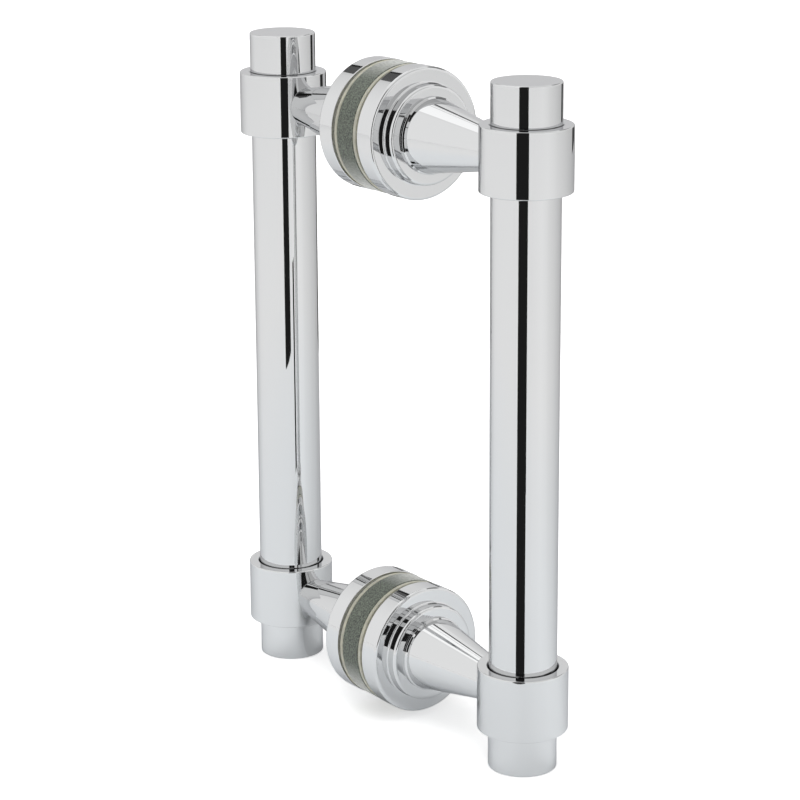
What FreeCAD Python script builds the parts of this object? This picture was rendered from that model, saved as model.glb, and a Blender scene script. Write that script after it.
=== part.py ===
import FreeCAD, Part
import math
import os

# Back-to-back pull handle for a glass shower door: a round bar on each side of the
# door, each held off the glass by an upper and a lower post, all in polished chrome.
# Millimetres. The origin is the middle of the glass, halfway between the two fixings.
# X runs along the door, -Y points to the front handle, +Y to the rear one, Z is up.

# Rosette: a flange with a smaller step on its face, turned in one piece
fixing_centres = 203.2
rosette_diameter = 50.0
flange_thickness = 8.4
flange_edge_radius = 1.2
flange_back_chamfer = 0.3
step_diameter = 37.6
step_height = 4.4
step_edge_radius = 1.2

# The door's glass, shown by a round offcut of it at each fixing, and how far the disc's rim
# lies inside the rosette's
glass_thickness = 10.0
glass_hole_diameter = 12.0
glass_arris = 0.4
glass_inset = 0.2

# Soft rings between the glass and each rosette, and how far their rims lie inside the rosette's
vinyl_thickness = 1.6
vinyl_inset = 0.3
rubber_thickness = 1.35
rubber_inset = 1.3

# Post: a foot ring with a bevelled shoulder, then a cone that narrows to the collar
foot_diameter = 29.0
foot_wall = 0.9
shoulder_height = 0.5
cone_foot_diameter = 27.8
cone_tip_diameter = 15.0

# Bar: tube, collars round it and turned end caps
bar_reach = 70.0
tube_diameter = 25.4
tube_wall = 1.5
collar_wall = 4.25
collar_height = 24.2
collar_edge_chamfer = 0.45
cap_overlap = 0.15
cap_projection = 15.3
cap_chamfer = 0.5
cap_face_thickness = 4.0
cap_bore_diameter = 16.0
spigot_length = 12.0
spigot_lead = 0.6
mouth_width = 0.65

# Stud through the glass, the sleeve round it and the hub on its front end
stud_diameter = 8.0
stud_chamfer = 0.8
stud_depth_in_rear_post = 15.0
rear_thread_spare = 2.0
sleeve_wall = 1.6
hub_diameter = 15.8
hub_length = 13.5
hub_chamfer = 0.6
hub_slot_width = 2.0
hub_slot_depth = 2.2
socket_spare = 1.2

# Grub screw in the underside of each front post, and the groove it bears on
grub_diameter = 4.0
grub_length = 6.0
grub_from_foot = 3.6
grub_tip_chamfer = 0.7
groove_depth = 0.9

# Countersunk screw from inside each collar into its post
collar_screw_diameter = 6.0
collar_screw_length = 16.0
screw_head_diameter = 11.3
screw_head_rim = 0.6
screw_head_sink = 0.2
screw_hole_spare = 1.5

# Hexagon sockets, as the distance across flats and the depth
grub_key = 2.0
grub_key_depth = 2.4
collar_screw_key = 4.0
collar_screw_key_depth = 2.2

# Clearances, each on the radius or between faces
bond_gap = 0.05
slip_gap = 0.1
thread_gap = 0.05
bolt_gap = 0.3

# How far a cutting shape runs on past the face that it opens
run_out = 1.0

# Distances from the middle of the glass, worked out along a post
rosette_radius = rosette_diameter / 2
vinyl_front = glass_thickness / 2 + vinyl_thickness
flange_back = vinyl_front + rubber_thickness
flange_face = flange_back + flange_thickness
post_foot = flange_face + step_height
cone_start = post_foot + foot_wall + shoulder_height
bar_offset = glass_thickness / 2 + bar_reach
tube_radius = tube_diameter / 2
collar_bore = tube_radius + bond_gap
collar_radius = collar_bore + collar_wall
cone_end = bar_offset - collar_radius
grub_place = post_foot + grub_from_foot
hub_end = post_foot + hub_length

# Heights, measured from the middle of the handle
fixing_height = fixing_centres / 2
cap_radius = tube_radius + cap_overlap
collar_face = fixing_height + collar_height / 2
cap_seat = collar_face - (mouth_width - slip_gap)
bar_end = collar_face + cap_projection

UP = FreeCAD.Vector(0, 0, 1)
ORIGIN = FreeCAD.Vector(0, 0, 0)
FULL_TURN = 360


def corner_points(before, corner, after, radius):
    """Start, middle and end of the arc that rounds one corner of an outline."""
    back = (before - corner).normalize()
    ahead = (after - corner).normalize()
    half_angle = back.getAngle(ahead) / 2
    reach = radius / math.tan(half_angle)
    inward = (back + ahead).normalize()
    middle = corner + inward * (radius / math.sin(half_angle) - radius)
    return corner + back * reach, middle, corner + ahead * reach


def outline_face(points):
    """Flat face inside a closed outline of (radius, height) or (radius, height, corner radius)."""
    corners = [FreeCAD.Vector(p[0], 0, p[1]) for p in points]
    count = len(points)
    edges = []
    starts = []
    ends = []
    for i, point in enumerate(points):
        if len(point) == 3:
            start, middle, end = corner_points(corners[i - 1], corners[i], corners[(i + 1) % count], point[2])
            edges.append(Part.Arc(start, middle, end).toShape())
        else:
            start = corners[i]
            end = corners[i]
        starts.append(start)
        ends.append(end)
    for i in range(count):
        edges.append(Part.makeLine(ends[i], starts[(i + 1) % count]))
    return Part.Face(Part.Wire(Part.__sortEdges__(edges)))


def turned(points):
    """Solid turned round the Z axis from half of its section."""
    return outline_face(points).revolve(ORIGIN, UP, FULL_TURN)


def ring(outer, inner, bottom, top):
    """Plain ring given by two diameters and two heights."""
    return turned([(inner / 2, bottom), (outer / 2, bottom), (outer / 2, top), (inner / 2, top)])


def hexagon(across_flats, bottom, top):
    """Six-sided bar for a key socket, from one height to another."""
    radius = across_flats / math.sqrt(3)
    corners = []
    for i in range(7):
        angle = math.radians(60 * i)
        corners.append(FreeCAD.Vector(radius * math.cos(angle), radius * math.sin(angle), bottom))
    face = Part.Face(Part.makePolygon(corners))
    return face.extrude(FreeCAD.Vector(0, 0, top - bottom))


def along_front(shape):
    """Turn a piece drawn up Z so that it points out of the door's front, along -Y."""
    shape = shape.copy()
    shape.rotate(ORIGIN, FreeCAD.Vector(1, 0, 0), 90)
    return shape


def at_bar(shape):
    """Move an upright piece from the Z axis to the front bar."""
    shape = shape.copy()
    shape.translate(FreeCAD.Vector(0, -bar_offset, 0))
    return shape


def upside_down(shape):
    """Turn an upright piece end for end about the X axis."""
    shape = shape.copy()
    shape.rotate(ORIGIN, FreeCAD.Vector(1, 0, 0), 180)
    return shape


def to_rear(shape):
    """Carry a piece of the front handle to the rear one, by half a turn about Z."""
    shape = shape.copy()
    shape.rotate(ORIGIN, UP, 180)
    return shape


def at_height(shape, height):
    """Lift a piece to its fixing."""
    shape = shape.copy()
    shape.translate(FreeCAD.Vector(0, 0, height))
    return shape


def glass_disc():
    """Round of the door's glass, with ground edges and the drilled hole."""
    radius = rosette_radius - glass_inset
    bore = glass_hole_diameter / 2
    half = glass_thickness / 2
    return along_front(turned([
        (bore, -half), (radius - glass_arris, -half), (radius, -half + glass_arris),
        (radius, half - glass_arris), (radius - glass_arris, half), (bore, half)]))


def bolt_sleeve():
    """Plastic sleeve that keeps the stud off the glass."""
    outer = glass_hole_diameter - 2 * slip_gap
    return along_front(ring(outer, outer - 2 * sleeve_wall, slip_gap - vinyl_front, vinyl_front - slip_gap))


def vinyl_gasket():
    """Clear vinyl ring against the glass, which the sleeve passes through."""
    outer = 2 * (rosette_radius - vinyl_inset)
    return along_front(ring(outer, glass_hole_diameter, glass_thickness / 2, vinyl_front))


def rubber_washer():
    """Dark rubber ring between the vinyl and the rosette, set in a little from both."""
    outer = 2 * (rosette_radius - rubber_inset)
    return along_front(ring(outer, stud_diameter + 2 * bolt_gap, vinyl_front, flange_back))


def rosette():
    """Flange and step with rounded front edges, bored to clear the stud."""
    step = step_diameter / 2
    bore = stud_diameter / 2 + bolt_gap
    return along_front(turned([
        (bore, flange_back), (rosette_radius - flange_back_chamfer, flange_back),
        (rosette_radius, flange_back + flange_back_chamfer),
        (rosette_radius, flange_face, flange_edge_radius), (step, flange_face),
        (step, post_foot, step_edge_radius), (bore, post_foot)]))


def screw_outline(head_radius, shank_radius, rim, reach):
    """Half section of a countersunk screw or its hole, with the head's flat top at height 0."""
    sink = head_radius - shank_radius
    return [(0, 0), (head_radius, 0), (head_radius, -rim), (shank_radius, -rim - sink),
            (shank_radius, -reach), (0, -reach)]


def collar_screw_place(shape):
    """Lay a screw drawn down Z along the post, its head under the wall of the collar's bore."""
    head = bar_offset - collar_bore - screw_head_sink
    shape = along_front(shape)
    shape.translate(FreeCAD.Vector(0, -head, 0))
    return shape


def collar_screw():
    """Countersunk screw with a key socket in its head."""
    screw = turned(screw_outline(screw_head_diameter / 2, collar_screw_diameter / 2, screw_head_rim,
                                 collar_screw_length))
    return collar_screw_place(screw.cut(hexagon(collar_screw_key, -collar_screw_key_depth, run_out)))


def collar_screw_hole():
    """Room for the screw: threaded in the post, countersunk in the collar, open to the tube's bore."""
    head_radius = screw_head_diameter / 2 + thread_gap
    hole = turned(screw_outline(head_radius, collar_screw_diameter / 2 + thread_gap, screw_head_rim,
                                collar_screw_length + screw_hole_spare))
    access = Part.makeCylinder(head_radius, tube_radius)
    return collar_screw_place(hole.fuse(access))


def post_blank():
    """Foot ring, shoulder and cone, solid, with the far end hollowed to sit on the collar."""
    foot = foot_diameter / 2
    base = cone_foot_diameter / 2
    slope = (base - cone_tip_diameter / 2) / (cone_end - cone_start)
    blank = along_front(turned([
        (0, post_foot), (foot, post_foot), (foot, post_foot + foot_wall), (base, cone_start),
        (base - slope * (bar_offset - cone_start), bar_offset), (0, bar_offset)]))
    collar_skin = at_bar(Part.makeCylinder(collar_radius + bond_gap, foot_diameter, UP * (-foot)))
    return blank.cut(collar_skin).cut(collar_screw_hole())


def socket(radius, depth):
    """Round hole into the foot of a post."""
    return along_front(Part.makeCylinder(radius, depth, UP * post_foot))


def at_grub_place(shape):
    """Turn a piece drawn up Z so that it points down from the front post's axis, at its grub screw."""
    shape = upside_down(shape)
    shape.translate(FreeCAD.Vector(0, -grub_place, 0))
    return shape


def front_post():
    """Post that slips over the hub and is locked by a grub screw from below."""
    post = post_blank().cut(socket(hub_diameter / 2 + slip_gap, hub_length + socket_spare))
    return post.cut(at_grub_place(Part.makeCylinder(grub_diameter / 2 + thread_gap, foot_diameter)))


def rear_post():
    """Post that screws straight on the stud."""
    depth = stud_depth_in_rear_post + rear_thread_spare
    return post_blank().cut(socket(stud_diameter / 2 + thread_gap, depth))


def hub():
    """Threaded hub that clamps the front rosette, with a groove for the grub screw and a driver slot."""
    radius = hub_diameter / 2
    bore = stud_diameter / 2 + thread_gap
    groove = radius - groove_depth
    half_floor = grub_diameter / 2 - grub_tip_chamfer + slip_gap
    low = grub_place - half_floor
    high = grub_place + half_floor
    body = turned([
        (bore, post_foot), (radius, post_foot), (radius, low - groove_depth), (groove, low), (groove, high),
        (radius, high + groove_depth), (radius, hub_end - hub_chamfer), (radius - hub_chamfer, hub_end),
        (bore, hub_end)])
    corner = FreeCAD.Vector(-hub_diameter, -hub_slot_width / 2, hub_end - hub_slot_depth)
    slot = Part.makeBox(2 * hub_diameter, hub_slot_width, 2 * hub_slot_depth, corner)
    return along_front(body.cut(slot))


def grub_screw():
    """Headless screw with a bevelled tip on the hub's groove and a key socket at its outer end."""
    radius = grub_diameter / 2
    tip = hub_diameter / 2 - groove_depth + thread_gap
    end = tip + grub_length
    screw = turned([(0, tip), (radius - grub_tip_chamfer, tip), (radius, tip + grub_tip_chamfer),
                    (radius, end), (0, end)])
    return at_grub_place(screw.cut(hexagon(grub_key, end - grub_key_depth, end + run_out)))


def through_stud():
    """Threaded rod from the rear post, through the glass, to just short of the hub's end."""
    radius = stud_diameter / 2
    front = hub_end - hub_slot_depth
    rear = -(post_foot + stud_depth_in_rear_post)
    return along_front(turned([
        (0, rear), (radius - stud_chamfer, rear), (radius, rear + stud_chamfer),
        (radius, front - stud_chamfer), (radius - stud_chamfer, front), (0, front)]))


def bar_tube():
    """Straight tube through both collars, its ends just below their outer faces."""
    return at_bar(ring(tube_diameter, tube_diameter - 2 * tube_wall, -cap_seat, cap_seat))


def collar():
    """Ring round the tube with bevelled edges, flared mouths and the seat of the post's screw."""
    half = collar_height / 2
    mouth = cap_radius + mouth_width
    flare = mouth - collar_bore
    edge = collar_radius - collar_edge_chamfer
    body = turned([
        (collar_bore, -half + flare), (mouth, -half), (edge, -half),
        (collar_radius, -half + collar_edge_chamfer), (collar_radius, half - collar_edge_chamfer),
        (edge, half), (mouth, half), (collar_bore, half - flare)])
    return at_bar(body).cut(collar_screw_hole())


def end_cap():
    """Turned cap with a flat face, whose hollow spigot fits in the tube."""
    spigot = tube_radius - tube_wall - bond_gap
    bore = cap_bore_diameter / 2
    bottom = cap_seat - spigot_length
    return at_bar(turned([
        (0, bar_end), (cap_radius - cap_chamfer, bar_end), (cap_radius, bar_end - cap_chamfer),
        (cap_radius, cap_seat), (spigot, cap_seat), (spigot, bottom + spigot_lead),
        (spigot - spigot_lead, bottom), (bore, bottom), (bore, bar_end - cap_face_thickness),
        (0, bar_end - cap_face_thickness)]))


LEVELS = {"upper": fixing_height, "lower": -fixing_height}


def at_each_level(shape):
    """One group with a copy of the piece at both fixings."""
    return Part.makeCompound([at_height(shape, height) for height in LEVELS.values()])


def handle_pieces():
    """Every piece of the handle in its place, by name."""
    pieces = {"front_bar_tube": bar_tube(), "rear_bar_tube": to_rear(bar_tube())}
    caps = {"upper": end_cap(), "lower": upside_down(to_rear(end_cap()))}
    pairs = {"collar": collar(), "rosette": rosette(), "rubber_washer": rubber_washer(),
             "vinyl_gasket": vinyl_gasket()}
    for level, height in LEVELS.items():
        front = "front_" + level + "_"
        rear = "rear_" + level + "_"
        pieces[front + "end_cap"] = caps[level]
        pieces[rear + "end_cap"] = to_rear(caps[level])
        for kind, shape in pairs.items():
            pieces[front + kind] = at_height(shape, height)
            pieces[rear + kind] = to_rear(pieces[front + kind])
        pieces[front + "post"] = at_height(front_post(), height)
        pieces[rear + "post"] = at_height(to_rear(rear_post()), height)
        pieces[front + "hub"] = at_height(hub(), height)
        pieces[level + "_glass_disc"] = at_height(glass_disc(), height)
        pieces[level + "_bolt_sleeve"] = at_height(bolt_sleeve(), height)
    front_screws = at_each_level(collar_screw())
    pieces["collar_screws"] = Part.makeCompound(front_screws.Solids + to_rear(front_screws).Solids)
    pieces["through_studs"] = at_each_level(through_stud())
    pieces["grub_screws"] = at_each_level(grub_screw())
    return pieces


os.makedirs("parts", exist_ok=True)
for node, shape in handle_pieces().items():
    shape.exportStep("parts/" + node + ".step")
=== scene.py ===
"""Looks of a back-to-back pull handle for a glass shower door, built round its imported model.

Metres, in the model's own frame: the origin is the middle of the glass between the two fixings, X runs
along the door, -Y points to the front handle, +Y to the rear one and Z is up along the bars.
"""

import math
from collections import namedtuple

import bmesh
import bpy
import numpy as np
from bpy.props import FloatProperty, FloatVectorProperty, IntProperty, PointerProperty
from mathutils import Matrix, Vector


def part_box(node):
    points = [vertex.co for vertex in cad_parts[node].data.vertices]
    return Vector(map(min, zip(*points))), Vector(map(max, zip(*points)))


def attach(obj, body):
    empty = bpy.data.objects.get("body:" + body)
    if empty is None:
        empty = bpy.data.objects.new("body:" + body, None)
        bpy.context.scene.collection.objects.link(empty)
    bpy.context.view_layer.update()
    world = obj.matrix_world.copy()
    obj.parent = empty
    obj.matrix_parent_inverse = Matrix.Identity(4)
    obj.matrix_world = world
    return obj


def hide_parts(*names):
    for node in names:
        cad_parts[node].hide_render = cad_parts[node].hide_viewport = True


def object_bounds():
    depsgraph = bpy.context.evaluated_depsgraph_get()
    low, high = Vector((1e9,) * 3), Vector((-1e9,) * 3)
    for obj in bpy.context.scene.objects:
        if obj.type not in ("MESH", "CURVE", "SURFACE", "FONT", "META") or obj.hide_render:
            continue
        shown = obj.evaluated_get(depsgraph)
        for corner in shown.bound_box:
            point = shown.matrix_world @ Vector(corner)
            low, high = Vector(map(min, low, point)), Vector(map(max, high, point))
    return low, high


bl_info = {
    "name": "Glass Door Handle",
    "version": (1, 0, 0),
    "blender": (4, 5, 0),
    "location": "View3D > Sidebar > Door Handle",
    "description": "Dresses a back-to-back glass door handle in chrome, ground glass, vinyl and rubber",
    "category": "Object",
}

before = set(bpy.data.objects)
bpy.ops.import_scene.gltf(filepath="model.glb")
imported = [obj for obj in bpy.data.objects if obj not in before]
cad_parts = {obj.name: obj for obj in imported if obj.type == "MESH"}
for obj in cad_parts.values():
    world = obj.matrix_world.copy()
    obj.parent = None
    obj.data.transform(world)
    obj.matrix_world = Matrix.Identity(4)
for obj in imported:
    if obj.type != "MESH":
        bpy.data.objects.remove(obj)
CAD_BOX = [list(corner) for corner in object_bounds()]

MM = 0.001
BODY = "root"
SIDES = {"front": -1, "rear": 1}
LEVELS = ("upper", "lower")
WHITE = (1, 1, 1)
QUARTERS = [(side, sign, at) for side, sign in SIDES.items() for at in LEVELS]

UprightBoard = namedtuple("UprightBoard", "name left right bottom top brightness")
FloorBoard = namedtuple("FloorBoard", "name turn distance brightness")
AirBoard = namedtuple("AirBoard", "name turn rise distance brightness")
Lamp = namedtuple("Lamp", "name place size power")
Grain = namedtuple("Grain", "size detail stretch", defaults=((1, 1, 1),))
Look = namedtuple("Look", "tone contrast shades gloss roughness relief depth strength")

# What the chrome mirrors. A turn is a compass direction from the handle in degrees, with 0 at -Y and 90
# at +X, and a rise is an angle above level. The greys of floor and room are pairs of a turn and a grey.
# Places, heights and distances are in metres.
FLOOR_GREYS = ((-180, 0.8), (-150, 0.92), (-20, 0.91), (12, 0.965), (28, 0.93), (37, 0.88), (62, 0.8),
               (75, 0.75), (90, 0.72), (110, 0.64), (160, 0.7))
ROOM_GREYS = ((-180, 0.86), (-150, 0.98), (60, 0.98), (110, 0.88), (145, 0.93), (170, 0.82))
UPRIGHT_BOARDS = (
    UprightBoard("black_camera_board", left=(-0.244, -0.2), right=(-0.15, -0.3), bottom=-0.103, top=0.6,
                 brightness=0.015),
    UprightBoard("black_bar_strip", left=(-0.039, -0.0975), right=(-0.0258, -0.112), bottom=-0.1013, top=0.0,
                 brightness=0.015),
    UprightBoard("black_right_board", left=(0.495, -0.003), right=(0.495, 0.136), bottom=0.008, top=0.09,
                 brightness=0.03),
)
FLOOR_BOARDS = (FloorBoard("black_floor_card", turn=(122, 157), distance=(0.55, 2.0), brightness=0.02),)
AIR_BOARDS = (
    AirBoard("bright_softbox", turn=(138, 200), rise=(47.6, 72), distance=1.6, brightness=1.27),
    AirBoard("softbox_edge", turn=(130, 153), rise=(44.6, 48), distance=1.5, brightness=0.05),
    AirBoard("softbox_rib", turn=(145, 163), rise=(53, 53.7), distance=1.45, brightness=0.5),
    AirBoard("pale_back_board", turn=(122, 147), rise=(34, 45), distance=1.55, brightness=1.02),
    AirBoard("dark_back_board", turn=(157, 176.5), rise=(35, 40.8), distance=2.2, brightness=0.12),
    AirBoard("dark_back_edge", turn=(150, 176.8), rise=(34.2, 35.6), distance=2.1, brightness=0.02),
    AirBoard("dark_side_board", turn=(60, 118), rise=(28, 46), distance=1.7, brightness=0.25),
    AirBoard("grey_front_board", turn=(-40, 45), rise=(27, 57), distance=1.7, brightness=0.66),
    AirBoard("dark_front_edge", turn=(-60, 0), rise=(20.5, 22.5), distance=1.6, brightness=0.1),
)
LAMPS = (
    Lamp("key_lamp", place=(-1.2, -1.5, 4.0), size=2.5, power=60.0),
    Lamp("back_lamp", place=(0.5, 2.0, 3.6), size=2.5, power=45.0),
)

# Most values of a grain lie in its spread. A look runs between two shades of its colour as the grain of its
# tone runs over the contrast, between two roughnesses with the grain of its gloss, and is embossed with the
# grain of its relief. Sizes of grains and depths of relief are in metres.
GRAIN_SPREAD = (0.35, 0.65)
FULL_RANGE = (0, 1)
CHROME_LOOK = Look(
    tone=Grain(50 * MM, 2), contrast=FULL_RANGE, shades=(0.985, 1.01), gloss=Grain(22 * MM, 4),
    roughness=(0.015, 0.05), relief=Grain(4 * MM, 2), depth=0.0006 * MM, strength=1.0)
VINYL_LOOK = Look(
    tone=Grain(2.4 * MM, 3), contrast=GRAIN_SPREAD, shades=(0.86, 1.1), gloss=Grain(2.4 * MM, 3),
    roughness=(0.28, 0.42), relief=Grain(1.1 * MM, 2), depth=0.02 * MM, strength=0.6)
RUBBER_LOOK = Look(
    tone=Grain(0.7 * MM, 4), contrast=GRAIN_SPREAD, shades=(0.75, 1.3), gloss=Grain(0.7 * MM, 4),
    roughness=(0.55, 0.75), relief=Grain(0.7 * MM, 4), depth=0.03 * MM, strength=0.8)
NYLON_LOOK = Look(
    tone=Grain(0.8 * MM, 3), contrast=FULL_RANGE, shades=(0.92, 1.05), gloss=Grain(0.8 * MM, 3),
    roughness=(0.38, 0.52), relief=Grain(0.8 * MM, 3), depth=0.01 * MM, strength=0.6)
BRASS_LOOK = Look(
    tone=Grain(6 * MM, 4), contrast=GRAIN_SPREAD, shades=(0.8, 1.05), gloss=Grain(6 * MM, 4),
    roughness=(0.22, 0.4), relief=Grain(1.1 * MM, 3, (0.1, 1, 0.1)), depth=0.02 * MM, strength=0.6)
STEEL_LOOK = BRASS_LOOK._replace(shades=(0.88, 1.05), relief=Grain(1.1 * MM, 3, (1, 0.15, 1)))
# Painted shade: in a seam the chrome's colour falls to this share of itself.
PAINTED_SEAM_SHADE = 0.2

# The ground glass has pits all over, a painted sheen with marks along the edge where it is seen aslant, and
# clouds over both.
PITS = Grain(0.6 * MM, 3)
PIT_SHADES = (0.4, 1.8)
PIT_ROUGHNESS = (0.42, 0.62)
PIT_DEPTH = 0.06 * MM
PIT_STRENGTH = 0.7
MARKS = Grain(0.7 * MM, 3, (1, 0.5, 1))
MARK_SHADES = (0.75, 1.2)
SHEEN_SLANT = (0.52, 0.84)
CLOUDS = Grain(11 * MM, 3)
CLOUD_TINTS = ((0.78, 0.8, 0.79), (1, 1, 0.97))
CLOUD_SHARE = 0.5

# Rows of a post's mesh as shares of the way along its cone, in across its end face and down its screw hole,
# where the share of the hole's radius comes first. The cone's first row lies past the grub screw's hole, at
# a multiple of the hole's radius from its axis. The radius and the distance of a coped end depend on each
# other and are found in a few passes. Edges of a bored post that turn by more than the sharp angle are
# shaded sharp.
CONE_ROWS = (0.4, 0.7, 0.995, 1.0)
END_FACE_ROWS = (0.01, 0.5, 0.99, 1.0)
HOLE_ROWS = ((1.0, 0.02), (1.0, 0.98), (1.0, 1.0), (0.98, 1.0), (0.0, 1.0))
GRUB_CLEARANCE = 1.3
COPE_PASSES = 4
SHARP_ANGLE = math.radians(50)


def span(name, axis):
    """Lowest and highest coordinate of a CAD node along one axis."""
    low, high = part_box(name)
    return low[axis], high[axis]


def middle(name, axis):
    """Middle of a CAD node along one axis."""
    low, high = span(name, axis)
    return (low + high) / 2


def width(name, axis):
    """Size of a CAD node along one axis."""
    low, high = span(name, axis)
    return high - low


def reach(name, sign):
    """Nearest and furthest distance of a CAD node from the middle of the glass, on its own side."""
    near, far = sorted(sign * end for end in span(name, 1))
    return near, far


def a_length(name, description, default):
    """Setting for a length in metres."""
    return FloatProperty(name=name, description=description, default=default, unit="LENGTH", precision=5)


def an_angle(name, description, degrees):
    """Setting for an angle."""
    return FloatProperty(name=name, description=description, default=math.radians(degrees), subtype="ANGLE")


def an_amount(name, description, default):
    """Setting for a strength or a share, which has no unit."""
    return FloatProperty(name=name, description=description, default=default)


def a_colour(name, description, default):
    """Setting for a colour."""
    return FloatVectorProperty(
        name=name, description=description, default=default, subtype="COLOR", min=0, max=1)


class HandleSizes(bpy.types.PropertyGroup):
    """Sizes inside the pieces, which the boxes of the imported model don't give."""

    turn_steps: IntProperty(
        name="Turn Steps", description="Facets round every turned piece", default=192, min=24)
    edge_steps: IntProperty(
        name="Edge Steps", description="Facets along every rounded edge", default=5, min=2)
    twin_gap: a_length("Twin Gap", "How close two points of a cut mesh lie to count as one", 0.0001 * MM)
    hold: a_length("Hold", "How close the support rows are to the end of a straight run", 0.02 * MM)
    fine_edge: a_length("Fine Edge", "Rounding of an edge that was only broken with a file", 0.08 * MM)
    tube_wall: a_length("Tube Wall", "Thickness of the bar tube's wall", 1.5 * MM)
    cap_edge: a_length("Cap Edge", "Rounding round the flat end of a cap", 0.5 * MM)
    cap_face: a_length("Cap Face", "Thickness of a cap's closed end", 4.0 * MM)
    cap_bore: a_length("Cap Bore", "Radius of the hollow in a cap's spigot", 8.0 * MM)
    spigot_length: a_length("Spigot Length", "How far a cap's spigot reaches into the tube", 12.0 * MM)
    fit_gap: a_length("Fit Gap", "Clearance between a turned part and the part it fits", 0.05 * MM)
    collar_edge: a_length("Collar Edge", "Rounding of a collar's outer edges", 0.45 * MM)
    mouth: a_length("Mouth", "Width of the flare at each mouth of a collar", 0.65 * MM)
    # Painted shade at the seams: how far beside a seam it is full, and how far away it has faded.
    seam: a_length("Seam", "How far the full darkness of a seam shows beside it", 0.1 * MM)
    seam_fade: a_length("Seam Fade", "How far from a seam its darkness has faded", 0.3 * MM)
    flange_thickness: a_length("Flange Thickness", "Thickness of a rosette's wide flange", 8.4 * MM)
    flange_edge: a_length("Flange Edge", "Rounding of the flange's front edge", 1.2 * MM)
    back_edge: a_length("Back Edge", "Rounding of the flange's back edge", 0.3 * MM)
    step_radius: a_length("Step Radius", "Radius of the small step on a rosette", 18.8 * MM)
    step_edge: a_length("Step Edge", "Rounding of the step's front edge", 1.2 * MM)
    step_root: a_length("Step Root", "Hollow rounding where the step meets the flange", 0.7 * MM)
    rosette_bore: a_length("Rosette Bore", "Radius of the hole through a rosette and its rubber", 4.3 * MM)
    foot_wall: a_length("Foot Wall", "Straight height of the ring at the foot of a post", 0.9 * MM)
    foot_edge: a_length("Foot Edge", "Rounding between the foot ring's wall and its shoulder", 0.2 * MM)
    shoulder_height: a_length(
        "Shoulder Height", "Height of the bevelled shoulder above the foot ring's wall", 0.5 * MM)
    cone_foot_radius: a_length("Cone Foot Radius", "Radius of a post's cone at the shoulder", 13.9 * MM)
    cone_tip_radius: a_length(
        "Cone Tip Radius", "Radius of a post's cone where it reaches the collar", 7.5 * MM)
    hub_socket_radius: a_length("Hub Socket Radius", "Radius of the socket in a front post", 8.0 * MM)
    hub_socket_depth: a_length("Hub Socket Depth", "Depth of the socket in a front post", 14.7 * MM)
    stud_socket_radius: a_length(
        "Stud Socket Radius", "Radius of the threaded hole in a rear post", 4.05 * MM)
    stud_socket_depth: a_length("Stud Socket Depth", "Depth of the threaded hole in a rear post", 17.0 * MM)
    screw_hole_radius: a_length("Screw Hole Radius", "Radius of the hole for the collar's screw", 3.05 * MM)
    screw_hole_depth: a_length(
        "Screw Hole Depth", "Depth of the hole for the collar's screw, from the collar", 13.0 * MM)
    grub_distance: a_length("Grub Distance", "Distance of the grub screw from the foot of its post", 3.6 * MM)
    grub_hole_radius: a_length("Grub Hole Radius", "Radius of the grub screw's hole", 2.05 * MM)
    glass_bore: a_length("Glass Bore", "Radius of the hole drilled in the glass", 6.0 * MM)
    glass_arris: a_length("Glass Arris", "Width of the ground arris round the glass", 0.4 * MM)
    soft_edge: a_length("Soft Edge", "Rounding of the edges of the vinyl and rubber rings", 0.25 * MM)


class HandleColours(bpy.types.PropertyGroup):
    """Colours of the handle's finishes."""

    chrome: a_colour("Chrome", "Colour that the chrome plate gives to what it mirrors", (0.735, 0.74, 0.743))
    chrome_edge: a_colour(
        "Chrome Edge", "How much the chrome plate keeps of what it mirrors at its limbs", (0.7, 0.7, 0.71))
    glass: a_colour("Ground Glass", "Colour of the ground edge of the glass", (0.108, 0.123, 0.1))
    # Painted sheen: the glass edge turns to this paler colour where it is seen aslant.
    painted_sheen: a_colour("Frost", "Colour of the ground edge of the glass seen aslant", (0.61, 0.615, 0.595))
    vinyl: a_colour("Vinyl", "Colour of the clear vinyl rings seen edge on", (0.5, 0.49, 0.4))
    rubber: a_colour("Rubber", "Colour of the rubber rings", (0.35, 0.35, 0.3))
    nylon: a_colour("Nylon", "Colour of the sleeves in the glass", (0.72, 0.71, 0.66))
    brass: a_colour("Brass", "Colour of the threaded hubs", (0.6, 0.43, 0.17))
    steel: a_colour("Steel", "Colour of the studs and screws", (0.4, 0.4, 0.41))


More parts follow.
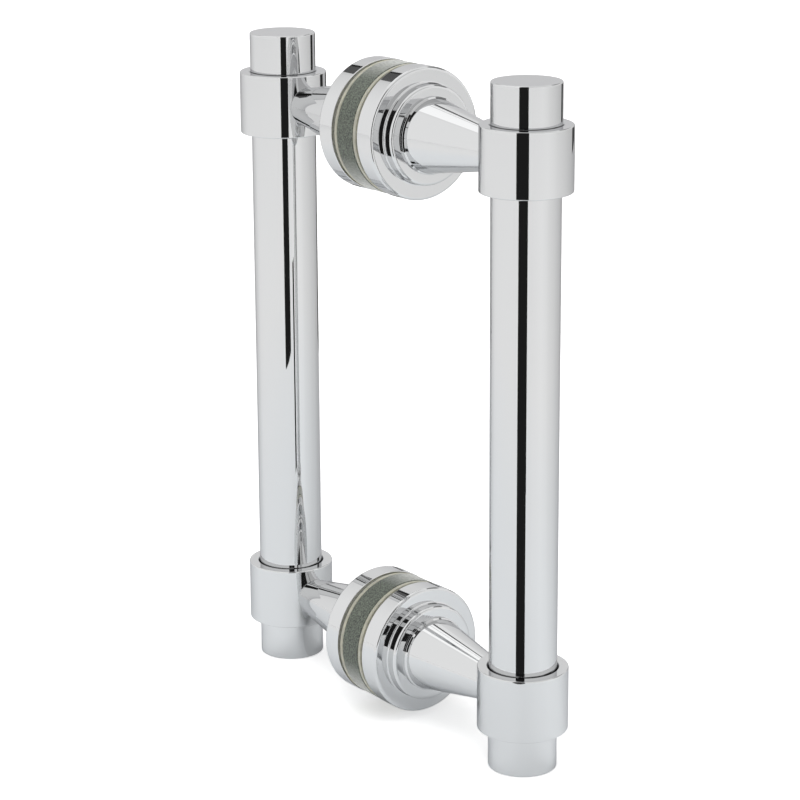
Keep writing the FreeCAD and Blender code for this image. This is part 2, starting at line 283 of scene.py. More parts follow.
class HandleStage(bpy.types.PropertyGroup):
    """The photographer's side of the scene: camera, light and what the chrome mirrors."""

    camera_place: FloatVectorProperty(
        name="Camera Place", description="Where the camera stands", subtype="TRANSLATION", unit="LENGTH",
        default=(-0.6083, -0.8057, 0.2875))
    camera_turn: an_angle("Camera Turn", "How far the camera is turned from +Y towards +X", 36.202)
    camera_tilt: an_angle("Camera Tilt", "How far the camera looks down", 15.28)
    camera_roll: an_angle("Camera Roll", "How far the camera leans", -0.537)
    camera_lens: FloatProperty(
        name="Camera Lens", description="Focal length on a 36 mm wide sensor", unit="CAMERA", default=123.19)
    camera_shift: an_amount(
        "Camera Shift", "How far the view is shifted to the right and down, as a share of its width", 0.05)
    floor_half: a_length("Floor Half", "Half the side of the floor", 2.2)
    floor_colour: a_colour("Floor Colour", "Colour of the floor to the camera", (0.92, 0.92, 0.92))
    floor_glow: an_amount(
        "Floor Glow", "Own light of the floor towards the camera, which keeps it white", 0.55)
    floor_glow_mirrored: an_amount(
        "Floor Glow Mirrored", "Own light of the floor as the chrome sees it", 0.12)
    near_floor_colour: a_colour(
        "Near Floor Colour", "Cool cast of the floor close to the handle, as the chrome sees it",
        (0.955, 0.98, 1.0))
    near_floor_reach: a_length("Near Floor Reach", "Distance at which the cool cast starts to fade", 0.25)
    far_floor_reach: a_length("Far Floor Reach", "Distance at which the cool cast is gone", 0.6)
    room_light: an_amount("Room Light", "Strength of the even light from all round", 0.5)


def unit(vector):
    """The vector scaled to length one."""
    return vector / np.linalg.norm(vector)


def rounded(corners, sizes, looped):
    """Rows of (radius, height) along a half section whose corners are rounded.

    Each corner is (radius, height, rounding). Between two runs that meet at the angle 2a, a rounding
    of radius r starts r / tan(a) from the corner, and its points turn evenly about a centre that lies
    r / sin(a) from the corner on the bisector. One support row just inside each end of a straight run
    keeps the shading of that run flat. Rows that aren't looped start and end on the axis.
    """
    places = np.array([corner[:2] for corner in corners])
    count = len(corners)
    share = np.linspace(0, 1, sizes.edge_steps + 1)[:, None]
    rows = []
    for i in range(count):
        if not looped and i in (0, count - 1):
            rows.append(places[i][None])
            continue
        corner = places[i]
        before = unit(places[i - 1] - corner)
        after = unit(places[(i + 1) % count] - corner)
        half = math.acos(float(before @ after)) / 2
        sweep = math.pi - 2 * half
        rounding = corners[i][2]
        centre = corner + unit(before + after) * rounding / math.sin(half)
        start = corner + before * rounding / math.tan(half)
        end = corner + after * rounding / math.tan(half)
        arc = np.sin((1 - share) * sweep) * (start - centre) + np.sin(share * sweep) * (end - centre)
        rows.append((start + before * sizes.hold)[None])
        rows.append(centre + arc / math.sin(sweep))
        rows.append((end + after * sizes.hold)[None])
    return np.vstack(rows)


def turns(sizes):
    """Angles of the columns of a turned piece, evenly round the full turn."""
    return np.linspace(0, 2 * math.pi, sizes.turn_steps, endpoint=False)[None]


def upright(rows, sizes, y):
    """Grid of a shape turned round an upright axis at y.

    At the angle a, a row of radius r and height h lies at (r cos a, y + r sin a, h).
    """
    angle = turns(sizes)
    radius, height = rows[:, :1], rows[:, 1:]
    return np.stack([radius * np.cos(angle), y + radius * np.sin(angle), height + 0 * angle], axis=-1)


def level(radius, distance, sizes, sign, z):
    """Grid of a shape turned round a level axis through a fixing at height z.

    At the angle a, a row of radius r and distance d from the glass's middle lies at
    (r cos a, sign * d, z + r sin a). Radius and distance may also change round the turn.
    """
    angle = turns(sizes)
    across = radius * np.cos(angle)
    height = z + radius * np.sin(angle)
    return np.stack([across, sign * distance + 0 * angle, height], axis=-1)


def skin(name, grid, looped):
    """Object with a smooth surface through a grid of points, rows by columns.

    The columns close round the axis. Looped rows close on themselves, and otherwise the first and the
    last row are single points on the axis, met by triangles. The faces are turned over when the
    volume they enclose, a sixth of the sum of a . (b x c), comes out negative.
    """
    rows, columns = grid.shape[:2]
    index = np.arange(rows * columns).reshape(rows, columns)
    if not looped:
        index[0] = index[0, 0]
        index[-1] = index[-1, 0]
    below = np.roll(index, -1, axis=0)
    strips = np.stack([index, np.roll(index, -1, axis=1), np.roll(below, -1, axis=1), below], axis=-1)
    points = grid.reshape(-1, 3)
    if looped:
        quads = strips.reshape(-1, 4)
        fans = np.zeros((0, 3), int)
    else:
        quads = strips[1:-2].reshape(-1, 4)
        fans = np.vstack([strips[0][:, [0, 2, 3]], strips[-2][:, [0, 1, 2]]])
    triangles = np.vstack([quads[:, [0, 1, 2]], quads[:, [0, 2, 3]], fans])
    a, b, c = (points[triangles[:, i]] for i in range(3))
    if np.einsum("ij,ij->i", a, np.cross(b, c)).sum() < 0:
        quads = quads[:, ::-1]
        fans = fans[:, ::-1]
    used, renumbered = np.unique(np.concatenate([quads.ravel(), fans.ravel()]), return_inverse=True)
    quads = renumbered[:quads.size].reshape(-1, 4)
    fans = renumbered[quads.size:].reshape(-1, 3)
    mesh = bpy.data.meshes.new(name)
    mesh.from_pydata(points[used].tolist(), [], quads.tolist() + fans.tolist())
    mesh.shade_smooth()
    piece = bpy.data.objects.new(name, mesh)
    bpy.context.scene.collection.objects.link(piece)
    return piece


def fit(piece, material, slot, *nodes):
    """Give a piece its finish and let it stand for CAD nodes on the handle's one body."""
    piece.data.materials.append(material)
    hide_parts(*nodes)
    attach(piece, BODY)


def fill(tree, made, inputs):
    """Fill in or link the inputs of a node. A value that is the output of another node is linked."""
    for name, value in inputs.items():
        if isinstance(value, bpy.types.NodeSocket):
            tree.links.new(value, made.inputs[name])
        else:
            made.inputs[name].default_value = value


def node(tree, kind, inputs=None, **settings):
    """Shader node with its settings and inputs."""
    made = tree.nodes.new(kind)
    for name, value in settings.items():
        setattr(made, name, value)
    fill(tree, made, inputs or {})
    return made


def new_material(name):
    """New node material, its node tree and its main shader."""
    material = bpy.data.materials.new(name)
    material.use_nodes = True
    return material, material.node_tree, material.node_tree.nodes["Principled BSDF"]


def grain(tree, kind):
    """Noise fixed to the piece, with cells of the grain's size, drawn out along an axis by its stretch."""
    place = node(tree, "ShaderNodeTexCoord").outputs["Object"]
    mapping = node(tree, "ShaderNodeMapping", {"Vector": place, "Scale": kind.stretch})
    noise = node(tree, "ShaderNodeTexNoise", {
        "Vector": mapping.outputs["Vector"], "Scale": 1 / kind.size, "Detail": kind.detail})
    return noise.outputs["Fac"]


def between(tree, factor, values, over=GRAIN_SPREAD):
    """Value that runs from the first to the second of two values, as the factor runs over two others."""
    spread = node(tree, "ShaderNodeMapRange", {
        "Value": factor, "From Min": over[0], "From Max": over[1], "To Min": values[0], "To Max": values[1]})
    return spread.outputs["Result"]


def blended(tree, factor, first, second, blend_type="MIX"):
    """Colour that runs from the first to the second with the factor. Each is an output or a plain colour."""
    ends = [end if isinstance(end, bpy.types.NodeSocket) else (*end, 1) for end in (first, second)]
    mix = node(tree, "ShaderNodeMix", {"Factor": factor, "A": ends[0], "B": ends[1]},
               data_type="RGBA", blend_type=blend_type)
    return mix.outputs["Result"]


def tinted(colour, factor):
    """The colour made darker or brighter by a factor."""
    return tuple(min(1.0, channel * factor) for channel in colour)


def shaded(tree, factor, colour, shades, contrast=GRAIN_SPREAD):
    """Colour that runs between two shades of itself, as the factor runs over the contrast."""
    first, second = (tinted(colour, shade) for shade in shades)
    return blended(tree, between(tree, factor, FULL_RANGE, contrast), first, second)


def relief(tree, shader, height, depth, strength):
    """Bump of a given depth on the shader's normal."""
    bump = node(tree, "ShaderNodeBump", {"Strength": strength, "Distance": depth, "Height": height})
    fill(tree, shader, {"Normal": bump.outputs["Normal"]})


def mottled(name, colour, look, inputs):
    """Material of one colour with the grains of a look, and with other inputs of its shader."""
    material, tree, shader = new_material(name)
    fill(tree, shader, {
        "Base Color": shaded(tree, grain(tree, look.tone), colour, look.shades, look.contrast),
        "Roughness": between(tree, grain(tree, look.gloss), look.roughness), **inputs})
    relief(tree, shader, grain(tree, look.relief), look.depth, look.strength)
    return material


def chrome_finish(colours, name="polished chrome"):
    """Polished chrome plate: a mirror with a trace of polishing waves and slightly duller patches."""
    return mottled(name, colours.chrome, CHROME_LOOK, {
        "Metallic": 1.0, "Specular Tint": (*colours.chrome_edge, 1)})


def place_parts(tree):
    """The three coordinates of a place on the piece."""
    place = node(tree, "ShaderNodeTexCoord").outputs["Object"]
    return node(tree, "ShaderNodeSeparateXYZ", {"Vector": place}).outputs


def worked_out(tree, operation, *values):
    """Result of a calculation with outputs or plain values."""
    return node(tree, "ShaderNodeMath", dict(enumerate(values)), operation=operation).outputs[0]


def distance_to(tree, place):
    """Distance of a place from the origin."""
    return node(tree, "ShaderNodeVectorMath", {0: place}, operation="LENGTH").outputs["Value"]


def off_middle(tree):
    """Height above or below the middle of the handle."""
    return worked_out(tree, "ABSOLUTE", place_parts(tree)["Z"])


def off_bar(tree):
    """Distance from the axis of the nearer bar."""
    parts = place_parts(tree)
    off_glass = worked_out(tree, "ABSOLUTE", parts["Y"])
    beside = worked_out(tree, "SUBTRACT", off_glass, abs(middle("front_bar_tube", 1)))
    level_part = node(tree, "ShaderNodeCombineXYZ", {"X": parts["X"], "Y": beside})
    return distance_to(tree, level_part.outputs["Vector"])


def chrome_with_painted_seam_shade(name, measure, clear, dark):
    """The handle's chrome with painted shade in a seam: it turns dark as a measure of the place runs from
    clear to dark.
    """
    colours = bpy.context.scene.handle_colours
    material = chrome_finish(colours, name)
    tree = material.node_tree
    shader = tree.nodes["Principled BSDF"]
    plain = shader.inputs["Base Color"].links[0].from_socket
    seam = between(tree, measure(tree), FULL_RANGE, (clear, dark))
    fill(tree, shader, {"Base Color": blended(tree, seam, plain, tinted(colours.chrome, PAINTED_SEAM_SHADE))})
    return material


def ground_glass_finish(colours):
    """Ground edge of toughened glass: dull grey-green, with a painted sheen that has fine grinding marks
    where seen aslant.
    """
    material, tree, shader = new_material("ground glass edge")
    pits = grain(tree, PITS)
    ground = shaded(tree, pits, colours.glass, PIT_SHADES)
    painted_sheen = shaded(tree, grain(tree, MARKS), colours.painted_sheen, MARK_SHADES)
    slant = node(tree, "ShaderNodeLayerWeight").outputs["Facing"]
    # Painted sheen: the paler marked colour takes over where the edge is seen aslant.
    tone = blended(tree, between(tree, slant, FULL_RANGE, SHEEN_SLANT), ground, painted_sheen)
    clouds = blended(tree, between(tree, grain(tree, CLOUDS), FULL_RANGE), *CLOUD_TINTS)
    fill(tree, shader, {
        "IOR": 1.5, "Base Color": blended(tree, CLOUD_SHARE, tone, clouds, "MULTIPLY"),
        "Roughness": between(tree, pits, PIT_ROUGHNESS)})
    relief(tree, shader, pits, PIT_DEPTH, PIT_STRENGTH)
    return material


def vinyl_finish(colours):
    """Clear vinyl seen edge on: cream, a little translucent, with soft mottling."""
    return mottled("clear vinyl", colours.vinyl, VINYL_LOOK, {
        "IOR": 1.53, "Subsurface Weight": 0.25, "Subsurface Radius": (1.2 * MM, 1.0 * MM, 0.6 * MM)})


def rubber_finish(colours):
    """Dark rubber with a matt, slightly dusty skin."""
    return mottled("dark rubber", colours.rubber, RUBBER_LOOK, {})


def nylon_finish(colours):
    """Natural nylon with the mould's faint texture."""
    return mottled("natural nylon", colours.nylon, NYLON_LOOK, {
        "Subsurface Weight": 0.15, "Subsurface Radius": (0.8 * MM, 0.8 * MM, 0.6 * MM)})


def bare_metal_finish(name, colour, look):
    """Bare turned metal: tool marks drawn out round the work and patches dulled by handling."""
    return mottled(name, colour, look, {"Metallic": 1.0})


def finish_named(name, make):
    """The finish of that name, made on first use so that like pieces share it."""
    return bpy.data.materials.get(name) or make(bpy.context.scene.handle_colours)


def chrome():
    """The handle's one chrome finish without a seam."""
    return finish_named("polished chrome", chrome_finish)


def named(*words):
    """Name of a piece or a CAD node, as in post_front_upper."""
    return "_".join(words)


class DressTubes(bpy.types.Operator):
    """Build the two straight bar tubes"""

    bl_idname = "handle.dress_tubes"
    bl_label = "Bar Tubes"

    def execute(self, context):
        sizes = context.scene.handle_sizes
        edge = sizes.fine_edge
        seam = min(map(abs, span("front_upper_collar", 2)))
        # Painted shade darkens each tube from just outside the collars' mouths inwards.
        finish = chrome_with_painted_seam_shade("chrome of the tubes", off_middle, seam - sizes.seam_fade, seam - sizes.seam)
        for side in SIDES:
            name = named(side, "bar_tube")
            radius = width(name, 0) / 2
            inner = radius - sizes.tube_wall
            bottom, top = span(name, 2)
            rows = rounded([
                (radius, bottom, edge), (radius, top, edge), (inner, top, edge), (inner, bottom, edge)],
                sizes, True)
            tube = skin(named("tube", side), upright(rows, sizes, middle(name, 1)), True)
            fit(tube, finish, "chrome", name)
        return {"FINISHED"}


class DressEndCaps(bpy.types.Operator):
    """Build the four turned end caps with their spigots"""

    bl_idname = "handle.dress_end_caps"
    bl_label = "End Caps"

    def execute(self, context):
        sizes = context.scene.handle_sizes
        edge = sizes.fine_edge
        bore = sizes.cap_bore
        spigot = width("front_bar_tube", 0) / 2 - sizes.tube_wall - sizes.fit_gap
        seam = max(map(abs, span("front_upper_collar", 2)))
        # Painted shade darkens each cap from just outside its collar's mouth inwards.
        finish = chrome_with_painted_seam_shade("chrome of the caps", off_middle, seam + sizes.seam_fade, seam + sizes.seam)
        for side, _, at in QUARTERS:
            name = named(side, at, "end_cap")
            radius = width(name, 0) / 2
            inner_end, outer_end = sorted(span(name, 2), key=abs)
            outward = math.copysign(1, outer_end)
            seat = inner_end + outward * sizes.spigot_length
            floor = outer_end - outward * sizes.cap_face
            rows = rounded([
                (0, outer_end, 0), (radius, outer_end, sizes.cap_edge), (radius, seat, edge),
                (spigot, seat, edge), (spigot, inner_end, edge), (bore, inner_end, edge),
                (bore, floor, edge), (0, floor, 0)], sizes, False)
            cap = skin(named("cap", side, at), upright(rows, sizes, middle(name, 1)), False)
            fit(cap, finish, "chrome", name)
        return {"FINISHED"}


class DressCollars(bpy.types.Operator):
    """Build the four collars with their flared mouths"""

    bl_idname = "handle.dress_collars"
    bl_label = "Collars"

    def execute(self, context):
        sizes = context.scene.handle_sizes
        edge = sizes.fine_edge
        outer = sizes.collar_edge
        bore = width("front_bar_tube", 0) / 2 + sizes.fit_gap
        mouth = width("front_upper_end_cap", 0) / 2 + sizes.mouth
        flare = mouth - bore
        # Painted shade darkens each collar's flared mouths and its bore.
        finish = chrome_with_painted_seam_shade("chrome of the collars", off_bar, mouth - sizes.seam_fade, bore + sizes.seam)
        for side, _, at in QUARTERS:
            name = named(side, at, "collar")
            radius = width(name, 0) / 2
            bottom, top = span(name, 2)
            rows = rounded([
                (bore, bottom + flare, edge), (mouth, bottom, edge), (radius, bottom, outer),
                (radius, top, outer), (mouth, top, edge), (bore, top - flare, edge)], sizes, True)
            collar = skin(named("collar", side, at), upright(rows, sizes, middle(name, 1)), True)
            fit(collar, finish, "chrome", name)
        return {"FINISHED"}


def coped(radius, bar, seat, angle):
    """Distance at which a point of a post meets the collar it is hollowed for.

    At radius r and angle a the point lies r cos a beside the axis, and the round seat of radius s about
    the bar's axis is reached at bar - sqrt(s s - (r cos a)(r cos a)).
    """
    return bar - np.sqrt(seat * seat - (radius * np.cos(angle)) ** 2)


def post_grid(sizes, foot, bar, seat, foot_radius, socket_radius, socket_depth):
    """Radius and distance of every point of a post: socket, foot ring, cone and coped end.

    Between the foot ring and the collar, the radius falls evenly with the distance, and the rows share
    out the way from the ring to the cope at each angle of the turn.
    """
    angle = turns(sizes)
    edge = sizes.fine_edge
    cone_start = foot + sizes.foot_wall + sizes.shoulder_height
    start_rows = rounded([
        (0, foot + socket_depth, 0), (socket_radius, foot + socket_depth, edge), (socket_radius, foot, edge),
        (foot_radius, foot, edge), (foot_radius, foot + sizes.foot_wall, sizes.foot_edge),
        (sizes.cone_foot_radius, cone_start, edge), (sizes.cone_tip_radius, bar - seat, 0)],
        sizes, False)[:-1]
    slope = (sizes.cone_foot_radius - sizes.cone_tip_radius) / (bar - seat - cone_start)
    end_radius = sizes.cone_tip_radius + 0 * angle
    for _ in range(COPE_PASSES):
        end = coped(end_radius, bar, seat, angle)
        end_radius = sizes.cone_foot_radius - slope * (end - cone_start)
    grub_edge = foot + sizes.grub_distance + GRUB_CLEARANCE * sizes.grub_hole_radius
    first = start_rows[-1, 1]
    share = np.array([(grub_edge - first) / (bar - seat - first), *CONE_ROWS])[:, None]
    cone_distance = first + share * (end - first)
    cone_radius = sizes.cone_foot_radius - slope * (cone_distance - cone_start)
    inward = np.array(END_FACE_ROWS)[:, None]
    end_face_radius = end_radius + inward * (sizes.screw_hole_radius - end_radius)
    end_face_distance = coped(end_face_radius, bar, seat, angle)
    hole = np.array(HOLE_ROWS)
    hole_end = bar - seat - sizes.screw_hole_depth
    hole_radius = sizes.screw_hole_radius * hole[:, :1] + 0 * angle
    hole_distance = end_face_distance[-1] + hole[:, 1:] * (hole_end - end_face_distance[-1])
    spread = np.ones_like(angle)
    radius = np.vstack([start_rows[:, :1] * spread, cone_radius, end_face_radius, hole_radius])
    distance = np.vstack([start_rows[:, 1:] * spread, cone_distance, end_face_distance, hole_distance])
    return radius, distance


def merge_twins(mesh, gap):
    """Join points that all but coincide after a cut, and with them the slivers between them."""
    work = bmesh.new()
    work.from_mesh(mesh)
    bmesh.ops.remove_doubles(work, verts=work.verts, dist=gap)
    work.to_mesh(mesh)
    work.free()


def bore_grub_hole(post, sizes, sign, foot, z):
    """Cut the grub screw's hole into the underside of a front post, down to its socket."""
    bottom = z - width("front_upper_rosette", 0) / 2
    rows = np.array([(0, bottom), (sizes.grub_hole_radius, bottom), (sizes.grub_hole_radius, z), (0, z)])
    y = sign * (foot + sizes.grub_distance)
    cutter = skin("grub_hole", upright(rows, sizes, y), False)
    cut = post.modifiers.new("Grub Hole", "BOOLEAN")
    cut.object = cutter
    cut.solver = "EXACT"
    graph = bpy.context.evaluated_depsgraph_get()
    mesh = bpy.data.meshes.new_from_object(post.evaluated_get(graph))
    post.modifiers.remove(cut)
    merge_twins(mesh, sizes.twin_gap)
    post.data = mesh
    mesh.set_sharp_from_angle(angle=SHARP_ANGLE)
    bpy.data.objects.remove(cutter)


class DressPosts(bpy.types.Operator):
    """Build the four tapered posts, coped to their collars, and bore the grub screws' holes"""

    bl_idname = "handle.dress_posts"
    bl_label = "Posts"

    def execute(self, context):
        sizes = context.scene.handle_sizes
        for side, sign, at in QUARTERS:
            front = side == "front"
            socket_radius = sizes.hub_socket_radius if front else sizes.stud_socket_radius
            socket_depth = sizes.hub_socket_depth if front else sizes.stud_socket_depth
            name = named(side, at, "post")
            collar = named(side, at, "collar")
            foot = reach(name, sign)[0]
            bar = sign * middle(collar, 1)
            seat = width(collar, 0) / 2 + sizes.fit_gap
            z = middle(name, 2)
            radius, distance = post_grid(
                sizes, foot, bar, seat, width(name, 0) / 2, socket_radius, socket_depth)
            post = skin(named("post", side, at), level(radius, distance, sizes, sign, z), False)
            if front:
                bore_grub_hole(post, sizes, sign, foot, z)
            fit(post, chrome(), "chrome", name)
        return {"FINISHED"}


class DressRosettes(bpy.types.Operator):
    """Build the four rosettes: a flange with a smaller step on its face"""

    bl_idname = "handle.dress_rosettes"
    bl_label = "Rosettes"

    def execute(self, context):
        sizes = context.scene.handle_sizes
        edge = sizes.fine_edge
        bore = sizes.rosette_bore
        step = sizes.step_radius
        for side, sign, at in QUARTERS:
            name = named(side, at, "rosette")
            radius = width(name, 0) / 2
            back, front = reach(name, sign)
            face = back + sizes.flange_thickness
            rows = rounded([
                (bore, back, edge), (radius, back, sizes.back_edge), (radius, face, sizes.flange_edge),
                (step, face, sizes.step_root), (step, front, sizes.step_edge), (bore, front, edge)],
                sizes, True)
            grid = level(rows[:, :1], rows[:, 1:], sizes, sign, middle(name, 2))
            fit(skin(named("rosette", side, at), grid, True), chrome(), "chrome", name)
        return {"FINISHED"}


class DressGlass(bpy.types.Operator):
    """Build the two rounds of glass with ground edges"""

    bl_idname = "handle.dress_glass"
    bl_label = "Glass Rounds"

    def execute(self, context):
        sizes = context.scene.handle_sizes
        edge = sizes.fine_edge
        bore = sizes.glass_bore
        arris = sizes.glass_arris
        finish = finish_named("ground glass edge", ground_glass_finish)
        for at in LEVELS:
            name = named(at, "glass_disc")
            radius = width(name, 0) / 2
            back, front = span(name, 1)
            rows = rounded([
                (bore, back, edge), (radius - arris, back, edge), (radius, back + arris, edge),
                (radius, front - arris, edge), (radius - arris, front, edge), (bore, front, edge)],
                sizes, True)
            grid = level(rows[:, :1], rows[:, 1:], sizes, 1, middle(name, 2))
            fit(skin(named("glass_round", at), grid, True), finish, "glass", name)
        return {"FINISHED"}


def soft_rings(slot, kind, bore, material, sizes):
    """Four flat rings with softly rounded rims, one under each rosette."""
    edge = sizes.soft_edge
    for side, sign, at in QUARTERS:
        name = named(side, at, kind)
        radius = width(name, 0) / 2
        back, front = reach(name, sign)
        rows = rounded([
            (bore, back, edge), (radius, back, edge), (radius, front, edge), (bore, front, edge)],
            sizes, True)
        grid = level(rows[:, :1], rows[:, 1:], sizes, sign, middle(name, 2))
        fit(skin(named(slot, side, at), grid, True), material, slot, name)


class DressVinyl(bpy.types.Operator):
    """Build the four vinyl rings against the glass"""

    bl_idname = "handle.dress_vinyl"
    bl_label = "Vinyl Rings"

    def execute(self, context):
        sizes = context.scene.handle_sizes
        finish = finish_named("clear vinyl", vinyl_finish)
        soft_rings("vinyl", "vinyl_gasket", sizes.glass_bore, finish, sizes)
        return {"FINISHED"}


class DressRubber(bpy.types.Operator):
    """Build the four rubber rings between vinyl and rosette"""

    bl_idname = "handle.dress_rubber"
    bl_label = "Rubber Rings"

    def execute(self, context):
        sizes = context.scene.handle_sizes
        finish = finish_named("dark rubber", rubber_finish)
        soft_rings("rubber", "rubber_washer", sizes.rosette_bore, finish, sizes)
        return {"FINISHED"}


class FinishInnerParts(bpy.types.Operator):
    """Give the hidden hubs, sleeves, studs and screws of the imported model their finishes"""

    bl_idname = "handle.finish_inner_parts"
    bl_label = "Inner Parts"

    def execute(self, context):
        colours = context.scene.handle_colours
        brass = bare_metal_finish("turned brass", colours.brass, BRASS_LOOK)
        steel = bare_metal_finish("stainless steel", colours.steel, STEEL_LOOK)
        nylon = nylon_finish(colours)
        inner = {
            "front_upper_hub": brass, "front_lower_hub": brass, "upper_bolt_sleeve": nylon,
            "lower_bolt_sleeve": nylon, "through_studs": steel, "grub_screws": steel, "collar_screws": steel}
        for name, material in inner.items():
            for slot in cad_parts[name].material_slots:
                slot.material = material
        return {"FINISHED"}


def place_camera(stage):
    """Camera turned about Z, tilted down and leaned, with a shifted lens."""
    data = bpy.data.cameras.new("Camera")
    data.lens = stage.camera_lens
    data.shift_x = stage.camera_shift
    data.shift_y = -stage.camera_shift
    camera = bpy.data.objects.new("Camera", data)
    bpy.context.scene.collection.objects.link(camera)
    camera.matrix_world = (
        Matrix.Translation(stage.camera_place)
        @ Matrix.Rotation(-stage.camera_turn, 4, "Z")
        @ Matrix.Rotation(math.pi / 2 - stage.camera_tilt, 4, "X")
        @ Matrix.Rotation(stage.camera_roll, 4, "Z"))
    bpy.context.scene.camera = camera


def grey_round(tree, place, greys):
    """Grey that changes with the compass direction of a place: 0 is -Y, a quarter turn is +X."""
    parts = node(tree, "ShaderNodeSeparateXYZ", {"Vector": place}).outputs
    turn = worked_out(tree, "ARCTAN2", parts["X"], worked_out(tree, "MULTIPLY", parts["Y"], -1.0))
    share = between(tree, turn, FULL_RANGE, (-math.pi, math.pi))
    ramp = node(tree, "ShaderNodeValToRGB", {"Fac": share})
    elements = ramp.color_ramp.elements
    elements.remove(elements[-1])
    for number, (degrees, grey) in enumerate(greys):
        spot = (degrees + 180) / 360
        element = elements.new(spot) if number else elements[0]
        element.position = spot
        element.color = (grey, grey, grey, 1)
    return ramp.outputs["Color"]


def cool_near(tree, place, stage):
    """Cool cast close to the middle of the floor, which fades to none with the distance."""
    reaches = (stage.near_floor_reach, stage.far_floor_reach)
    fading = between(tree, distance_to(tree, place), FULL_RANGE, reaches)
    return blended(tree, fading, stage.near_floor_colour, WHITE)


def floor_finish(stage):
    """Matt white that glows a little, more to the camera than to the chrome, with greys round the handle."""
    material, tree, shader = new_material("white floor")
    tree.nodes.remove(shader)
    place = node(tree, "ShaderNodeTexCoord").outputs["Object"]
    path = node(tree, "ShaderNodeLightPath").outputs
    greys = grey_round(tree, place, FLOOR_GREYS)
    shade = blended(tree, 1.0, greys, cool_near(tree, place, stage), "MULTIPLY")
    white = blended(tree, path["Is Glossy Ray"], stage.floor_colour, shade)
    seen = worked_out(tree, "MAXIMUM", path["Is Camera Ray"], path["Is Transmission Ray"])
    strength = between(tree, seen, (stage.floor_glow_mirrored, stage.floor_glow), FULL_RANGE)
    diffuse = node(tree, "ShaderNodeBsdfDiffuse", {"Color": white})
    glow = node(tree, "ShaderNodeEmission", {"Color": white, "Strength": strength})
    both = node(tree, "ShaderNodeAddShader", {0: diffuse.outputs[0], 1: glow.outputs[0]})
    fill(tree, tree.nodes["Material Output"], {"Surface": both.outputs[0]})
    return material


def sheet(name, corners):
    """Flat four-cornered object of the stage."""
    mesh = bpy.data.meshes.new(name)
    mesh.from_pydata(corners, [], [(0, 1, 2, 3)])
    made = bpy.data.objects.new(name, mesh)
    bpy.context.scene.collection.objects.link(made)
    return made


def lay_floor(stage):
    """White floor under the caps, on which the handle keeps its soft shadow."""
    half = stage.floor_half
    z = CAD_BOX[0][2]
    floor = sheet("floor", [(-half, -half, z), (half, -half, z), (half, half, z), (-half, half, z)])
    floor.data.materials.append(floor_finish(stage))


def hang_board(board, corners):
    """Flat board of an even brightness that only the chrome sees, as a photographer's card or softbox."""
    made = sheet(board.name, corners)
    material, tree, shader = new_material(board.name)
    tree.nodes.remove(shader)
    glow = node(tree, "ShaderNodeEmission", {"Color": (*WHITE, 1), "Strength": board.brightness})
    fill(tree, tree.nodes["Material Output"], {"Surface": glow.outputs[0]})
    made.data.materials.append(material)
    made.visible_camera = False
    made.visible_shadow = False
    made.visible_diffuse = False
    made.visible_transmission = False


def towards(turn, rise, distance):
    """Place in a compass direction and at an angle of rise, both in degrees, at a distance."""
    turn = math.radians(turn)
    rise = math.radians(rise)
    return (distance * math.sin(turn) * math.cos(rise), -distance * math.cos(turn) * math.cos(rise),
            distance * math.sin(rise))


def round_corners(first, second):
    """The four corners (first, second) of a patch between two pairs of limits, in order round it."""
    return ((first[0], second[0]), (first[1], second[0]), (first[1], second[1]), (first[0], second[1]))


def hang_boards():
    """All boards: upright on two floor places, flat just above the floor, and high up in the air."""
    for board in UPRIGHT_BOARDS:
        hang_board(board, [(*place, height) for place, height in round_corners(
            (board.left, board.right), (board.bottom, board.top))])
    just_above = CAD_BOX[0][2] + MM
    for board in FLOOR_BOARDS:
        places = [towards(turn, 0, distance) for turn, distance in round_corners(board.turn, board.distance)]
        hang_board(board, [(x, y, just_above) for x, y, _ in places])
    for board in AIR_BOARDS:
        hang_board(board, [towards(turn, rise, board.distance) for turn, rise in round_corners(
            board.turn, board.rise)])


def light_world(stage):
    """World that lights the handle evenly, and that the chrome sees as a pale room, darker behind."""
    world = bpy.data.worlds.new("studio")
    bpy.context.scene.world = world
    world.use_nodes = True
    tree = world.node_tree
    plain = tree.nodes["Background"]
    fill(tree, plain, {"Color": (*WHITE, 1), "Strength": stage.room_light})
    place = node(tree, "ShaderNodeTexCoord").outputs["Generated"]
    path = node(tree, "ShaderNodeLightPath").outputs
    room = node(tree, "ShaderNodeBackground", {"Color": grey_round(tree, place, ROOM_GREYS)})
    white = node(tree, "ShaderNodeBackground", {"Color": (*WHITE, 1)})
    mirrored = node(tree, "ShaderNodeMixShader", {
        "Fac": path["Is Glossy Ray"], 1: plain.outputs[0], 2: room.outputs[0]})
    behind = node(tree, "ShaderNodeMixShader", {
        "Fac": path["Is Camera Ray"], 1: mirrored.outputs[0], 2: white.outputs[0]})
    fill(tree, tree.nodes["World Output"], {"Surface": behind.outputs[0]})


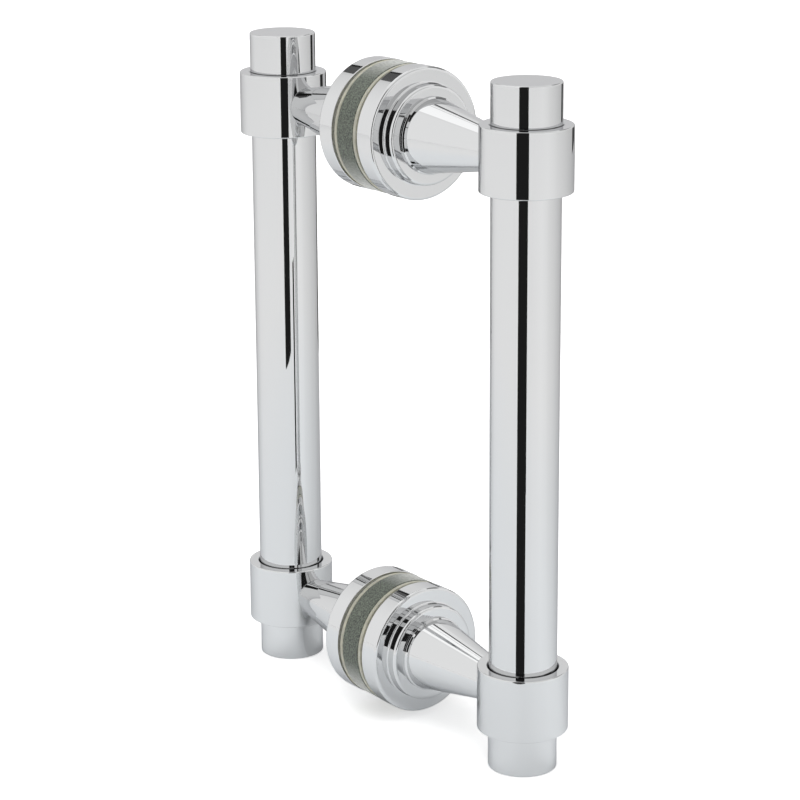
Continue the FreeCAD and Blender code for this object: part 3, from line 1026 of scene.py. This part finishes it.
def hang_lamp(lamp):
    """Soft square lamp that faces the middle of the handle and isn't mirrored in it."""
    data = bpy.data.lights.new(lamp.name, "AREA")
    data.size = lamp.size
    data.energy = lamp.power
    made = bpy.data.objects.new(lamp.name, data)
    bpy.context.scene.collection.objects.link(made)
    made.location = lamp.place
    made.rotation_euler = (-made.location).to_track_quat("-Z", "Y").to_euler()
    made.visible_glossy = False


class SetStage(bpy.types.Operator):
    """Set the floor, the boards, the light and the camera"""

    bl_idname = "handle.set_stage"
    bl_label = "Stage"

    def execute(self, context):
        stage = context.scene.handle_stage
        lay_floor(stage)
        light_world(stage)
        hang_boards()
        for lamp in LAMPS:
            hang_lamp(lamp)
        place_camera(stage)
        context.scene.view_settings.view_transform = "Standard"
        return {"FINISHED"}


OPERATORS = (DressTubes, DressEndCaps, DressCollars, DressPosts, DressRosettes, DressGlass, DressVinyl,
             DressRubber, FinishInnerParts, SetStage)


class HandlePanel(bpy.types.Panel):
    """The steps that dress the handle, in order"""

    bl_idname = "VIEW3D_PT_glass_door_handle"
    bl_label = "Glass Door Handle"
    bl_space_type = "VIEW_3D"
    bl_region_type = "UI"
    bl_category = "Door Handle"

    def draw(self, context):
        column = self.layout.column()
        for operator in OPERATORS:
            column.operator(operator.bl_idname)


GROUPS = {"handle_sizes": HandleSizes, "handle_colours": HandleColours, "handle_stage": HandleStage}


def register():
    """Make the settings, steps and panel known to Blender."""
    for name, group in GROUPS.items():
        bpy.utils.register_class(group)
        setattr(bpy.types.Scene, name, PointerProperty(type=group))
    for operator in OPERATORS:
        bpy.utils.register_class(operator)
    bpy.utils.register_class(HandlePanel)


def unregister():
    """Take the settings, steps and panel away again."""
    bpy.utils.unregister_class(HandlePanel)
    for operator in reversed(OPERATORS):
        bpy.utils.unregister_class(operator)
    for name, group in GROUPS.items():
        delattr(bpy.types.Scene, name)
        bpy.utils.unregister_class(group)


def main():
    """Dress the whole handle step by step."""
    register()
    for operator in OPERATORS:
        family, step = operator.bl_idname.split(".")
        getattr(getattr(bpy.ops, family), step)()


if __name__ == "__main__":
    main()
